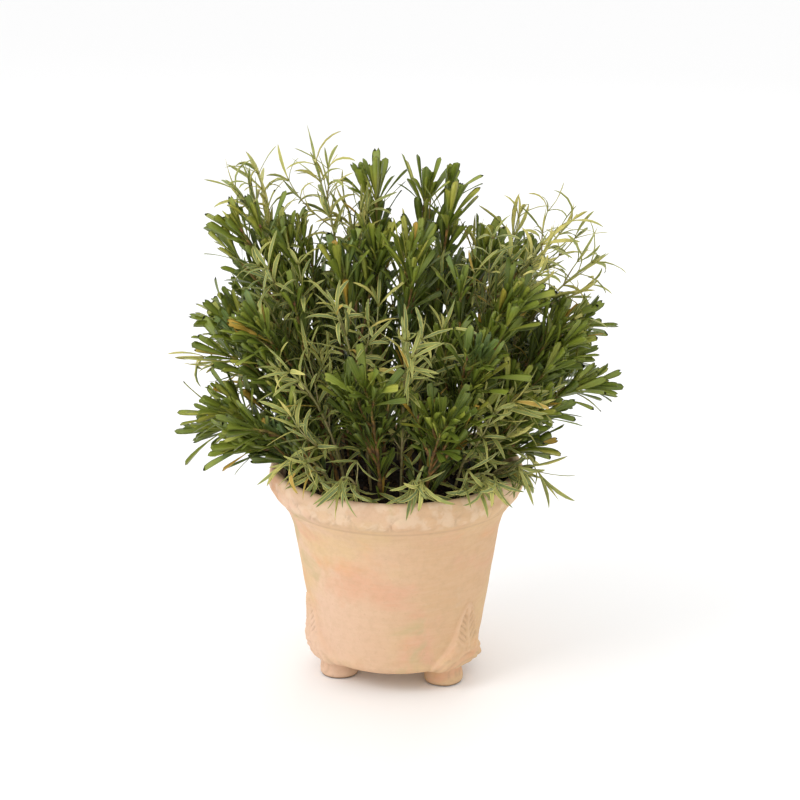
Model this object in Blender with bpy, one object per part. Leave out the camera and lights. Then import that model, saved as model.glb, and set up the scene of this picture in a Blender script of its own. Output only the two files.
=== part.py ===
"""A potted foliage plant: a footed terracotta pot, its soil, and the shoots that grow in it.

Metres, +Z up. The origin is on the pot's axis, on the surface that its three feet stand on.
A turn is an angle round the pot's axis, counted from the front (-Y) towards +X.
Every shoot is one solid: its stem, from the foot in the soil to the tip, and the leaves on it.
"""
import math

import bmesh
import bpy
from mathutils import Vector
from mathutils.bvhtree import BVHTree

# ---------------------------------------------------------------- driving dimensions: the pot
POT_HEIGHT = 0.191          # from the floor to the top of the rim
RIM_RADIUS = 0.111          # outside of the rolled rim
RIM_HEIGHT = 0.026          # the rolled band, from the hollow to the top
RIM_WALL = 0.009            # thickness at the lip
RIM_OVERHANG = 0.006        # how far the band's belly stands out past its foot
RIM_FLARE = 0.0205          # how far the rim stands out past the top of the plain tapered wall
NECK_HEIGHT = 0.028         # hollow curve under the band
NECK_RADIUS = RIM_RADIUS - RIM_FLARE
HEEL_RADIUS = 0.0735        # foot of the plain tapered wall
HEEL_ROUND = 0.011          # rounding between wall and underside
WALL = 0.008
FLOOR = 0.010
DRAIN_RADIUS = 0.010

FOOT_HEIGHT = 0.019
FOOT_RADIUS = 0.0165
FOOT_INSET = 0.0195         # the feet's centres, in from the foot of the wall
FOOT_RING = HEEL_RADIUS - FOOT_INSET
FOOT_TURNS = (50.0, 170.0, 290.0)

RELIEF_PROUD = 0.0075       # worn leaf relief over each foot, swollen like a knee
RELIEF_TOP = 0.083
RELIEF_HALF_WIDTH = 0.041
RELIEF_POWER = 1.1          # how fast the relief narrows upwards
RELIEF_FULL = 1.5           # the lower part keeps its full swell; a larger number keeps it higher up
RELIEF_FALL = 1.3           # how fast the swell fades above that
RELIEF_EASE = 0.05          # share of its height over which the relief swells at the bottom
POT_SIDES = 60

# ---------------------------------------------------------------- driving dimensions: the soil
SOIL_BELOW_RIM = 0.014
SOIL_CROWN = 0.003          # the soil stands this much higher in the middle
SOIL_SIDES = 36
CLEARANCE = 0.0003          # gap kept between pieces that touch
ROOT_DEPTH = 0.024          # how deep a stem goes into the soil
ROOT_COLLAR = 0.001         # a stem starts to bend this far above the soil
ROOT_MARGIN = 0.014         # outermost stem, from the pot's inner wall

# ---------------------------------------------------------------- driving dimensions: the shoots
STEM_SIDES = 5
LEAF_BASE = 0.0022          # height of the band on the stem that a leaf grows from
BANDS = (0.56, 0.79)        # where side leaves stand along the stem
APART = 0.0005              # least space kept round every leaf
FIRST_LEAN_SHARE = 0.3      # how much of its lean a stem already has where it leaves the soil
STEM_REACH_SHARE = 0.62     # how far along the stem its bend lies
TURN_TRIES = (0.0, 3.0, -3.0, 6.0, -6.0, 9.0, -9.0, 12.0, -12.0)

KINDS = {
    "broad": {
        "stem_base": 0.0017, "stem_tip": 0.0011, "length": 0.038, "half_width": 0.0038,
        "half_depth": 0.0005, "end_share": 0.45, "spread": (52.0, 42.0, 27.0), "sag": 0.002,
        "stem_colour": (0.16, 0.09, 0.04), "colour": (0.045, 0.095, 0.022), "roughness": 0.45,
    },
    "narrow": {
        "stem_base": 0.0013, "stem_tip": 0.0009, "length": 0.034, "half_width": 0.0019,
        "half_depth": 0.0004, "end_share": 0.2, "spread": (60.0, 50.0, 34.0), "sag": 0.007,
        "stem_colour": (0.22, 0.22, 0.08), "colour": (0.17, 0.24, 0.09), "roughness": 0.55,
    },
}

# The planting plan, from the tall middle outwards: kind, turn of the stem, its lean from upright,
# and how far its tip is from the middle of the soil, in millimetres.
PLAN = (
    ("broad", -90, 4, 254), ("broad", 110, 6, 248), ("broad", 80, 11, 240), ("broad", 96, 20, 212),
    ("broad", -38, 8, 208), ("broad", 10, 14, 212), ("broad", -48, 18, 205), ("broad", -85, 24, 226),
    ("broad", -150, 20, 190),
    ("narrow", -98, 14, 284), ("narrow", -125, 12, 236), ("narrow", -93, 28, 288),
    ("narrow", -72, 31, 232), ("narrow", 70, 26, 222), ("narrow", 92, 33, 272),
    ("narrow", 74, 30, 250), ("narrow", -28, 30, 206), ("narrow", 130, 30, 216),
    ("narrow", 178, 26, 206),
    ("broad", -84, 31, 256), ("broad", 56, 32, 204), ("broad", 118, 36, 212),
    ("broad", -112, 38, 200), ("broad", -145, 40, 184), ("broad", 152, 42, 196),
    ("narrow", 4, 37, 198), ("narrow", 86, 40, 256), ("broad", 32, 42, 182),
    ("broad", -12, 46, 164), ("narrow", -42, 46, 180), ("broad", -60, 40, 200),
    ("broad", -92, 46, 196), ("broad", -74, 50, 192), ("broad", 92, 48, 206),
    ("broad", 72, 48, 196), ("narrow", -168, 50, 156),
    ("narrow", 44, 54, 172), ("broad", 20, 55, 150), ("broad", 84, 61, 184),
    ("broad", 58, 60, 164), ("narrow", -96, 58, 198), ("broad", -80, 66, 166),
    ("broad", -58, 64, 158), ("broad", 104, 58, 184), ("broad", 132, 60, 176),
    ("broad", 162, 62, 142), ("broad", -132, 62, 174), ("broad", -160, 66, 136),
    ("broad", -88, 73, 158), ("broad", -68, 71, 148), ("broad", 80, 73, 118),
    ("narrow", -42, 68, 138), ("narrow", -22, 72, 126), ("narrow", 10, 72, 122),
    ("narrow", 40, 74, 130), ("narrow", 64, 79, 136), ("narrow", 178, 70, 132),
)


def shell_radius(height):
    """Radius of the plain tapered wall at a height."""
    foot = FOOT_HEIGHT + HEEL_ROUND
    neck = POT_HEIGHT - RIM_HEIGHT - NECK_HEIGHT
    share = (height - foot) / (neck - foot)
    return HEEL_RADIUS + share * (NECK_RADIUS - HEEL_RADIUS)


def curve(start, bend, end, steps):
    """Points of a quadratic curve after its start, so that curves can be strung together."""
    points = []
    for step in range(1, steps + 1):
        t = step / steps
        points.append(start * (1 - t) ** 2 + bend * 2 * t * (1 - t) + end * t * t)
    return points


def pot_outline():
    """Cross-section of the pot as (radius, height), round the wall and back to the drain hole."""
    heel = Vector((HEEL_RADIUS, FOOT_HEIGHT + HEEL_ROUND))
    under = Vector((HEEL_RADIUS - HEEL_ROUND, FOOT_HEIGHT))
    neck = Vector((NECK_RADIUS, POT_HEIGHT - RIM_HEIGHT - NECK_HEIGHT))
    roll = Vector((RIM_RADIUS - RIM_OVERHANG, POT_HEIGHT - RIM_HEIGHT))
    brow = Vector((RIM_RADIUS, POT_HEIGHT - RIM_HEIGHT * 0.4))
    crest = Vector((RIM_RADIUS - RIM_WALL * 0.5, POT_HEIGHT))
    lip = Vector((RIM_RADIUS - RIM_WALL, POT_HEIGHT - RIM_WALL * 0.5))
    inner_neck = Vector((shell_radius(neck.y) - WALL, neck.y))
    inner_floor = Vector((shell_radius(FOOT_HEIGHT + FLOOR) - WALL, FOOT_HEIGHT + FLOOR))

    points = [Vector((DRAIN_RADIUS, FOOT_HEIGHT)), under]
    points += curve(under, Vector((heel.x, under.y)), heel, 3)
    wall_steps = 6
    for step in range(1, wall_steps):
        points.append(heel.lerp(neck, step / wall_steps))
    points.append(neck)
    hollow = Vector((neck.lerp(roll, 0.32).x, neck.lerp(roll, 0.71).y))
    points += curve(neck, hollow, roll, 4)
    points += curve(roll, Vector((brow.x, roll.lerp(brow, 0.35).y)), brow, 4)
    points += curve(brow, Vector((brow.x, crest.y)), crest, 3)
    points += curve(crest, Vector((lip.x, crest.y)), lip, 2)
    points += [inner_neck, inner_floor, Vector((DRAIN_RADIUS, FOOT_HEIGHT + FLOOR))]
    return points


def relief(turn, height):
    """How far the leaf relief stands out of the wall at a turn and height."""
    bottom = FOOT_HEIGHT
    share = (height - bottom) / (RELIEF_TOP - bottom)
    if not 0.0 < share < 1.0:
        return 0.0
    half_width = RELIEF_HALF_WIDTH * (1 - share) ** RELIEF_POWER
    proud = 0.0
    for foot_turn in FOOT_TURNS:
        away = (turn - foot_turn + 180.0) % 360.0 - 180.0
        across = abs(math.radians(away)) * shell_radius(height) / half_width
        if across < 1.0:
            edge = min(1.0, 2.2 * (1.0 - across)) * min(1.0, share / RELIEF_EASE)
            proud = RELIEF_PROUD * edge * min(1.0, RELIEF_FULL * (1 - share) ** RELIEF_FALL)
    return proud


def on_axis(radius, turn, height):
    """World position of a point given by its radius, turn and height."""
    angle = math.radians(turn)
    return Vector((radius * math.sin(angle), -radius * math.cos(angle), height))


def revolve(outline, sides, grow=None):
    """Turn an outline (radius, height) round the axis; a closed outline makes a closed ring."""
    mesh = bmesh.new()
    rings = []
    for side in range(sides):
        turn = side * 360.0 / sides
        ring = []
        for radius, height in outline:
            extra = grow(turn, height) if grow and radius > HEEL_RADIUS - HEEL_ROUND - 0.001 else 0.0
            ring.append(mesh.verts.new(on_axis(radius + extra, turn, height)))
        rings.append(ring)
    count = len(outline)
    for side in range(sides):
        ring, after = rings[side], rings[(side + 1) % sides]
        for k in range(count):
            n = (k + 1) % count
            mesh.faces.new((ring[k], after[k], after[n], ring[n]))
    return mesh


def turned_solid(outline, sides, centre):
    """A solid turned about an upright line: the outline runs up from its bottom edge."""
    mesh = bmesh.new()
    rings = []
    for radius, height in outline:
        ring = []
        for side in range(sides):
            spot = on_axis(radius, side * 360.0 / sides, height)
            ring.append(mesh.verts.new(centre + spot))
        rings.append(ring)
    for low, high in zip(rings, rings[1:]):
        for side in range(sides):
            n = (side + 1) % sides
            mesh.faces.new((low[side], low[n], high[n], high[side]))
    mesh.faces.new(reversed(rings[0]))
    mesh.faces.new(rings[-1])
    return mesh


def finish(mesh, name, material=None, sharp=40.0):
    """Turn a bmesh into a named object in the scene, with its material and smooth shading."""
    bmesh.ops.recalc_face_normals(mesh, faces=mesh.faces[:])
    data = bpy.data.meshes.new(name)
    mesh.to_mesh(data)
    mesh.free()
    data.shade_smooth()
    data.set_sharp_from_angle(angle=math.radians(sharp))
    thing = bpy.data.objects.new(name, data)
    bpy.context.collection.objects.link(thing)
    if material:
        data.materials.append(material)
    return thing


def make_material(name, colour, roughness):
    """A plain Principled material."""
    material = bpy.data.materials.new(name)
    material.use_nodes = True
    shader = material.node_tree.nodes["Principled BSDF"]
    shader.inputs["Base Color"].default_value = (*colour, 1.0)
    shader.inputs["Roughness"].default_value = roughness
    shader.inputs["Metallic"].default_value = 0.0
    material.diffuse_color = (*colour, 1.0)
    return material


def use_tool(target, tool, operation):
    """Join or cut an object with another one, which stays as a hidden guide."""
    tool.hide_render = True
    tool.display_type = "WIRE"
    step = target.modifiers.new(operation.title(), "BOOLEAN")
    step.operation = operation
    step.solver = "EXACT"
    step.object = tool


def merge_into(mesh, other):
    """Add the faces of one bmesh to another."""
    twin = {vert: mesh.verts.new(vert.co) for vert in other.verts}
    for face in other.faces:
        mesh.faces.new([twin[vert] for vert in face.verts])
    other.free()


def build_pot():
    """The terracotta pot: turned wall with relief, joined with its three feet."""
    clay = make_material("terracotta", (0.78, 0.55, 0.35), 0.85)
    pot = finish(revolve(pot_outline(), POT_SIDES, relief), "pot", clay, 50.0)
    foot_outline = (
        (FOOT_RADIUS - 0.0015, 0.0),
        (FOOT_RADIUS, 0.003),
        (FOOT_RADIUS - 0.0015, FOOT_HEIGHT),
        (FOOT_RADIUS - 0.0015, FOOT_HEIGHT + FLOOR * 0.5),
    )
    feet = bmesh.new()
    for turn in FOOT_TURNS:
        merge_into(feet, turned_solid(foot_outline, 24, on_axis(FOOT_RING, turn, 0.0)))
    use_tool(pot, finish(feet, "feet_guide"), "UNION")
    return pot


def soil_level():
    return POT_HEIGHT - SOIL_BELOW_RIM


def inner_radius(height):
    """Radius of the pot's hollow at a height."""
    neck = POT_HEIGHT - RIM_HEIGHT - NECK_HEIGHT
    if height <= neck:
        return shell_radius(height) - WALL
    lip_height = POT_HEIGHT - RIM_WALL * 0.5
    share = (height - neck) / (lip_height - neck)
    inner_neck = shell_radius(neck) - WALL
    return inner_neck + share * (RIM_RADIUS - RIM_WALL - inner_neck)


def soil_outline():
    """Cross-section of the soil, from its underside to the crowned top."""
    bottom = FOOT_HEIGHT + FLOOR + CLEARANCE
    neck = POT_HEIGHT - RIM_HEIGHT - NECK_HEIGHT
    top = soil_level()
    flat = math.cos(math.pi / POT_SIDES)
    outline = [(inner_radius(height) * flat - CLEARANCE, height) for height in (bottom, neck, top)]
    return outline + [(inner_radius(top) * 0.55, top + SOIL_CROWN)]


class Shoot:
    """One shoot of the planting plan: where its stem runs."""

    def __init__(self, name, kind, turn, lean, reach_mm, extra_turn=0.0):
        self.name = name
        self.kind = kind
        self.turn = turn + extra_turn
        self.size = KINDS[kind]
        ring = inner_radius(soil_level()) - ROOT_MARGIN
        out = math.sin(math.radians(lean)) ** 0.85
        self.root = on_axis(ring * out, self.turn, soil_level() + SOIL_CROWN + ROOT_COLLAR)
        reach = reach_mm / 1000.0
        lean_angle = math.radians(lean)
        rise = soil_level() + reach * math.cos(lean_angle)
        self.tip = on_axis(reach * math.sin(lean_angle), self.turn, rise)
        first = math.radians(lean * FIRST_LEAN_SHARE)
        self.first = on_axis(math.sin(first), self.turn, math.cos(first))
        self.bend = self.root + self.first * (self.tip - self.root).length * STEM_REACH_SHARE

    def at(self, t):
        """Point on the stem: 0 at the soil, 1 at the tip, below 0 in the soil."""
        if t < 0:
            return self.root + self.first * t * (self.tip - self.root).length
        return self.root * (1 - t) ** 2 + self.bend * 2 * t * (1 - t) + self.tip * t * t

    def along(self, t):
        """Which way the stem runs at that point."""
        if t <= 0:
            return self.first
        return ((self.bend - self.root) * (1 - t) + (self.tip - self.bend) * t).normalized()

    def thickness(self, t):
        share = max(0.0, t)
        return self.size["stem_base"] + share * (self.size["stem_tip"] - self.size["stem_base"])

    def ring(self, t, grow=0.0):
        """Corners of the stem's cross-section, in order round it."""
        way = self.along(t)
        side = way.cross(Vector((0, 0, 1)))
        if side.length < 1e-4:
            side = Vector((1, 0, 0))
        side.normalize()
        out = side.cross(way)
        radius = self.thickness(t) + grow
        corners = []
        for k in range(STEM_SIDES):
            angle = k * math.tau / STEM_SIDES
            offset = side * math.cos(angle) + out * math.sin(angle)
            corners.append(self.at(t) + offset * radius)
        return corners

    def stations(self):
        """Places of the stem's rings, with the low ring of each leaf band marked."""
        length = (self.tip - self.root).length
        band = LEAF_BASE / length
        places = [(-ROOT_DEPTH / length, False), (0.0, False), (0.3, False)]
        for place in BANDS:
            places += [(place, True), (place + band, False)]
        places += [(1.0 - band, True), (1.0, False)]
        return places


def tube(rings):
    """A closed tube through rings of corners; returns it with its side faces, row by row."""
    mesh = bmesh.new()
    verts = [[mesh.verts.new(corner) for corner in ring] for ring in rings]
    rows = []
    for low, high in zip(verts, verts[1:]):
        row = []
        for k in range(STEM_SIDES):
            n = (k + 1) % STEM_SIDES
            row.append(mesh.faces.new((low[k], low[n], high[n], high[k])))
        rows.append(row)
    mesh.faces.new(reversed(verts[0]))
    end = mesh.faces.new(verts[-1])
    return mesh, rows, end


def leaf_sections(shoot, corners, way, spread, scale, grow=0.0):
    """Cross-sections of a leaf that grows from a face of the stem, given by its corners."""
    size = shoot.size
    middle = sum(corners, Vector()) / 4
    across = (corners[1] - corners[0]).normalized()
    outward = across.cross(way).normalized()
    if outward.dot(middle - shoot.at_nearest) < 0:
        outward = -outward
    angle = math.radians(spread)
    run = (way * math.cos(angle) + outward * math.sin(angle)).normalized()
    run = (run - across * run.dot(across)).normalized()
    depth = across.cross(run).normalized()
    if depth.dot(corners[3] - corners[0]) < 0:
        depth = -depth
    sections = []
    for share, width in ((0.55, 1.0), (1.0, size["end_share"])):
        centre = middle + run * size["length"] * scale * share
        centre.z -= size["sag"] * share * share
        half = size["half_width"] * width + grow
        thick = size["half_depth"] + grow
        sections.append([
            centre - across * half - depth * thick,
            centre + across * half - depth * thick,
            centre + across * half + depth * thick,
            centre - across * half + depth * thick,
        ])
    return sections


def probe(corners, sections):
    """A search tree over a leaf's outer part, to test whether it touches anything."""
    start = [a.lerp(b, 0.18) for a, b in zip(corners, sections[0])]
    points = start + sections[0] + sections[1]
    faces = [(0, 3, 2, 1), (8, 9, 10, 11)]
    for row in (0, 4):
        for k in range(4):
            n = (k + 1) % 4
            faces.append((row + k, row + n, row + 4 + n, row + 4 + k))
    return points, faces


def grow_leaf(mesh, face, sections):
    """Extrude one side face of the stem through the leaf's cross-sections."""
    for section in sections:
        face = bmesh.ops.extrude_discrete_faces(mesh, faces=[face])["faces"][0]
        for vert, place in zip(face.verts, section):
            vert.co = place


class Occupied:
    """What space is taken already, so that no leaf grows through another piece."""

    def __init__(self):
        self.solids = []

    def add(self, owner, points, faces):
        middle = sum(points, Vector()) / len(points)
        radius = max((point - middle).length for point in points)
        self.solids.append((owner, middle, radius, BVHTree.FromPolygons(points, faces)))

    def clear(self, points, faces, owner=None):
        middle = sum(points, Vector()) / len(points)
        radius = max((point - middle).length for point in points)
        tree = BVHTree.FromPolygons(points, faces)
        for other, centre, reach, solid in self.solids:
            near = (centre - middle).length < reach + radius
            if near and other != owner and tree.overlap(solid):
                return False
        return True


def mesh_lists(mesh):
    mesh.verts.index_update()
    points = [vert.co.copy() for vert in mesh.verts]
    return points, [[vert.index for vert in face.verts] for face in mesh.faces]


def plant_stem(number, row, occupied):
    """Lay one stem of the plan, turned a little further if it would touch another."""
    kind, turn, lean, reach = row
    name = f"{kind}_shoot_{number:02d}"
    for extra in TURN_TRIES:
        shoot = Shoot(name, kind, turn, lean, reach, extra)
        rings = [shoot.ring(t, APART) for t, _ in shoot.stations()]
        fat, _, _ = tube(rings)
        points, faces = mesh_lists(fat)
        fat.free()
        if occupied.clear(points, faces):
            occupied.add(name + "_stem", points, faces)
            return shoot
    occupied.add(name + "_stem", points, faces)
    return shoot


def build_shoot(shoot, material, occupied):
    """Stem and leaves of one shoot, as one solid."""
    stations = shoot.stations()
    mesh, rows, end = tube([shoot.ring(t) for t, _ in stations])
    level = 0
    for index, (t, is_band) in enumerate(stations):
        if not is_band:
            continue
        last = level == len(BANDS)
        sides = range(STEM_SIDES) if last else ((2 * level) % STEM_SIDES, (2 * level + 2) % STEM_SIDES)
        shoot.at_nearest = shoot.at(t)
        for side in sides:
            face = rows[index][side]
            corners = [vert.co.copy() for vert in face.verts]
            for scale in (1.0, 0.85, 0.7, 0.55):
                spread = shoot.size["spread"][level]
                way = shoot.along(t)
                fat = leaf_sections(shoot, corners, way, spread, scale, APART)
                points, faces = probe(corners, fat)
                if occupied.clear(points, faces, shoot.name + "_stem"):
                    occupied.add(shoot.name, points, faces)
                    grow_leaf(mesh, face, leaf_sections(shoot, corners, way, spread, scale))
                    break
        level += 1
    bmesh.ops.poke(mesh, faces=[end], offset=shoot.size["stem_tip"])
    return finish(mesh, shoot.name, material, 35.0)


def build_soil(shoots):
    """The soil, with a socket for every stem."""
    earth = make_material("soil", (0.045, 0.03, 0.02), 0.95)
    soil = finish(turned_solid(soil_outline(), SOIL_SIDES, Vector()), "soil", earth)
    sockets = bmesh.new()
    for shoot in shoots:
        length = (shoot.tip - shoot.root).length
        deep = -(ROOT_DEPTH + CLEARANCE) / length
        grow = CLEARANCE / math.cos(math.pi / STEM_SIDES)
        socket, _, _ = tube([shoot.ring(deep, grow), shoot.ring(0.0, grow)])
        merge_into(sockets, socket)
    use_tool(soil, finish(sockets, "sockets_guide"), "DIFFERENCE")
    return soil


def main():
    for thing in list(bpy.data.objects):
        bpy.data.objects.remove(thing, do_unlink=True)

    build_pot()
    occupied = Occupied()
    walls = revolve(pot_outline(), POT_SIDES, relief)
    occupied.add("pot", *mesh_lists(walls))
    walls.free()

    shoots = [plant_stem(number + 1, row, occupied) for number, row in enumerate(PLAN)]
    build_soil(shoots)
    top = turned_solid(soil_outline(), SOIL_SIDES, Vector((0, 0, APART)))
    occupied.add("soil", *mesh_lists(top))
    top.free()

    materials = {}
    for kind, size in KINDS.items():
        materials[kind] = make_material(kind + "_foliage", size["colour"], size["roughness"])
    for shoot in shoots:
        build_shoot(shoot, materials[shoot.kind], occupied)


main()
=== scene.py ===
# %% [markdown]
# # A potted foliage plant
# The real thing is a footed terracotta pot with two kinds of evergreen shoots in it: stiff dark
# ones with paddle-shaped leaves, and thin pale ones with narrow leaves that arch and hang.
# The CAD model already says where the pot, the soil and every stem stand. This lesson keeps those
# places and makes each piece look grown or fired: relief and weathered clay, crumbly soil, and
# some thousands of leaves that Geometry Nodes set along the twigs.

# %% Load the frame
import math
import random

import bmesh
import bpy
import numpy as np
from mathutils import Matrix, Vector, noise


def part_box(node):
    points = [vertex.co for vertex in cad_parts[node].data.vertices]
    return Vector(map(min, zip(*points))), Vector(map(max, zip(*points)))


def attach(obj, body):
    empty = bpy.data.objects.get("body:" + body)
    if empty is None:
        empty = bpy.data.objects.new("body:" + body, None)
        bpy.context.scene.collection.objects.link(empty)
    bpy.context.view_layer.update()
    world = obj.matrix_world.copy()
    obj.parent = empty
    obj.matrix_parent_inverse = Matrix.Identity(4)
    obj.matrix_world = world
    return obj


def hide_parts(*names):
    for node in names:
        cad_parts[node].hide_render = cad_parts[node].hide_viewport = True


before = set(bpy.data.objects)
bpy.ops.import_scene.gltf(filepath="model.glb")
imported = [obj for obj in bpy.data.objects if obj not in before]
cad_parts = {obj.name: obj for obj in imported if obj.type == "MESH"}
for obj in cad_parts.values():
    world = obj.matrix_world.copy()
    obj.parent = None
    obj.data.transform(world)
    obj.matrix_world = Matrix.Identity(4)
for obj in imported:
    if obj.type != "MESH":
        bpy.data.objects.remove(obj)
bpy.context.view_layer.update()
POT_LOW, POT_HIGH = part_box("pot")

# %% [markdown]
# ## Small helpers
# Node trees are built in the script. A graph adds a node, sets its options and feeds its sockets in
# one call. It gives back a wire, and sums and products of wires add Math nodes, so that a tree reads
# like a formula.

# %% A way to write node trees
class Wire:
    """The output of a node. Arithmetic on wires adds Math nodes."""

    def __init__(self, graph, socket):
        self.graph, self.socket = graph, socket

    def math(self, operation, second=0.0):
        return self.graph.out("ShaderNodeMath", {0: self, 1: second}, operation=operation)

    def __add__(self, other):
        return self.math("ADD", other)

    def __sub__(self, other):
        return self.math("SUBTRACT", other)

    def __mul__(self, other):
        return self.math("MULTIPLY", other)

    def __truediv__(self, other):
        return self.math("DIVIDE", other)


class Graph:
    """A node tree under construction."""

    def __init__(self, tree):
        self.tree = tree

    def feed(self, socket, value):
        """Link a wire to a socket, or type a plain value into it."""
        if isinstance(value, Wire):
            self.tree.links.new(value.socket, socket)
        else:
            socket.default_value = value

    def add(self, kind, inputs=None, **options):
        """Add a node, set its options and feed its inputs; gives its outputs as wires."""
        node = self.tree.nodes.new(kind)
        for name, value in options.items():
            setattr(node, name, value)
        for name, value in (inputs or {}).items():
            self.feed(node.inputs[name], value)
        return node.outputs

    def out(self, kind, inputs=None, output=0, **options):
        """Add a node and give one of its outputs as a wire."""
        return Wire(self, self.add(kind, inputs, **options)[output])

    def ramp(self, value, low, high, start=0.0, end=1.0, **options):
        """From start at low to end at high, and flat beyond; low may be the larger."""
        return self.out("ShaderNodeMapRange", {
            "Value": value, "From Min": low, "From Max": high, "To Min": start, "To Max": end}, **options)

    def soft(self, value, low, high):
        """A soft step from 0 at low to 1 at high."""
        return self.ramp(value, low, high, interpolation_type="SMOOTHSTEP")

    def split(self, vector):
        """The three parts of a vector."""
        return [Wire(self, part) for part in self.add("ShaderNodeSeparateXYZ", {0: vector})]

    def combine(self, x, y, z):
        """A vector of three parts."""
        return self.out("ShaderNodeCombineXYZ", {0: x, 1: y, 2: z})


def from_pot_axis(x, y):
    """Distance from the pot's axis."""
    return (x * x + y * y).math("SQRT")


# %% Helpers for shapes
def on_axis(radius, turn, height):
    """Point at a radius, a turn in degrees from the front towards +X, and a height."""
    angle = math.radians(turn)
    return Vector((radius * math.sin(angle), -radius * math.cos(angle), height))


def show(mesh_or_data, name, smooth_angle=None):
    """Link a bmesh or a mesh to the scene as an object at the origin."""
    data = mesh_or_data
    if isinstance(data, bmesh.types.BMesh):
        data = bpy.data.meshes.new(name)
        mesh_or_data.to_mesh(data)
        mesh_or_data.free()
    thing = bpy.data.objects.new(name, data)
    bpy.context.collection.objects.link(thing)
    if smooth_angle:
        data.shade_smooth()
        data.set_sharp_from_angle(angle=math.radians(smooth_angle))
    return thing


def bake_modifiers(thing):
    """Turn an object with modifiers into a plain mesh object of the same name."""
    graph = bpy.context.evaluated_depsgraph_get()
    live = thing.evaluated_get(graph)
    data = bpy.data.meshes.new_from_object(live, preserve_all_data_layers=True, depsgraph=graph)
    name = thing.name
    old = thing.data
    bpy.data.objects.remove(thing)
    if old.users == 0:
        bpy.data.meshes.remove(old)
    data.name = name
    return show(data, name)


def bridge(mesh, low, high):
    """Faces between two rings of as many points."""
    for side in range(len(low)):
        n = (side + 1) % len(low)
        mesh.faces.new((low[side], low[n], high[n], high[side]))


def keep(mesh, name, group):
    """Store a bmesh in a collection that isn't shown, for Geometry Nodes to copy from."""
    data = bpy.data.meshes.new(name)
    mesh.to_mesh(data)
    mesh.free()
    group.objects.link(bpy.data.objects.new(name, data))


# %% [markdown]
# ## Camera, light and floor
# The plant is seen from the front and a little above, through a long lens, as a product picture
# would be taken. A pale world lights every side, a large soft lamp high on the left gives the
# leaves their gleam, and a weaker one on the right keeps the shadow side open.

# %% Set the camera, the lights and the floor
VIEW_ELEVATION = 17.5
VIEW_DISTANCE = 1.925
AIM = Vector((0.003, 0.0, 0.248))

camera = bpy.data.objects.new("camera", bpy.data.cameras.new("camera"))
camera.data.lens = 100.0
camera.data.sensor_width = 36.0
camera.location = AIM + on_axis(
    VIEW_DISTANCE * math.cos(math.radians(VIEW_ELEVATION)), 0.0,
    VIEW_DISTANCE * math.sin(math.radians(VIEW_ELEVATION)))
camera.rotation_euler = (math.radians(90.0 - VIEW_ELEVATION), 0.0, 0.0)
bpy.context.collection.objects.link(camera)
bpy.context.scene.camera = camera


def soft_lamp(name, place, size, power):
    """A square area lamp that looks at the middle of the plant."""
    lamp = bpy.data.objects.new(name, bpy.data.lights.new(name, "AREA"))
    lamp.data.size = size
    lamp.data.energy = power
    lamp.location = place
    lamp.rotation_euler = (AIM - Vector(place)).to_track_quat("-Z", "Y").to_euler()
    bpy.context.collection.objects.link(lamp)


soft_lamp("key_lamp", (-1.5, -1.1, 1.7), 1.0, 17.0)
soft_lamp("back_lamp", (0.5, 1.8, 1.8), 1.2, 8.0)

world = bpy.data.worlds.new("pale_studio")
bpy.context.scene.world = world
world.use_nodes = True
sky = world.node_tree.nodes["Background"]
sky.inputs["Color"].default_value = (1.0, 1.0, 1.0, 1.0)
sky.inputs["Strength"].default_value = 1.0
bpy.context.scene.view_settings.view_transform = "Standard"

FLOOR_HALF = 12.0
floor_mesh = bmesh.new()
bmesh.ops.create_grid(floor_mesh, x_segments=2, y_segments=2, size=FLOOR_HALF)
floor = show(floor_mesh, "floor")
floor_paint = bpy.data.materials.new("pale_floor")
floor_paint.use_nodes = True
floor_shader = floor_paint.node_tree.nodes["Principled BSDF"]
floor_shader.inputs["Base Color"].default_value = (0.97, 0.97, 0.97, 1.0)
floor_shader.inputs["Roughness"].default_value = 0.9
floor.data.materials.append(floor_paint)

# %% [markdown]
# ## The pot: its measures
# The pot was pressed in a mould: a tapered wall, a hollow neck and a rolled rim, on three short
# feet. The height and the rim come from the CAD pot's box. The other measures are those of the
# CAD, so that the fine pot sits exactly where the plain one stood.

# %% The pot's measures
POT_HEIGHT = POT_HIGH.z
RIM_RADIUS = POT_HIGH.x
RIM_HEIGHT = 0.026
RIM_WALL = 0.009
RIM_OVERHANG = 0.006
NECK_HEIGHT = 0.028
NECK_RADIUS = RIM_RADIUS - 0.0205
HEEL_RADIUS = 0.0735
HEEL_ROUND = 0.011
WALL = 0.008
POT_FLOOR = 0.010
DRAIN_RADIUS = 0.010
FOOT_HEIGHT = 0.019
FOOT_RING = HEEL_RADIUS - 0.0195
FOOT_TURNS = (50.0, 170.0, 290.0)
CARVED_TOP = 0.090
RIM_FOOT = POT_HEIGHT - RIM_HEIGHT
NECK_FOOT = RIM_FOOT - NECK_HEIGHT
print(f"pot {POT_HEIGHT * 1000:.0f} mm high, rim {RIM_RADIUS * 2000:.0f} mm across")


def wall_radius(height):
    """Radius of the plain tapered wall at a height."""
    foot = FOOT_HEIGHT + HEEL_ROUND
    share = (height - foot) / (NECK_FOOT - foot)
    return HEEL_RADIUS + share * (NECK_RADIUS - HEEL_RADIUS)


def curve(start, bend, end, steps):
    """Points of a quadratic curve after its start."""
    points = []
    for step in range(1, steps + 1):
        t = step / steps
        points.append(start * (1 - t) ** 2 + bend * 2 * t * (1 - t) + end * t * t)
    return points


def run(start, end, steps):
    """Points of a straight line after its start."""
    return [start.lerp(end, step / steps) for step in range(1, steps + 1)]


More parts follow.
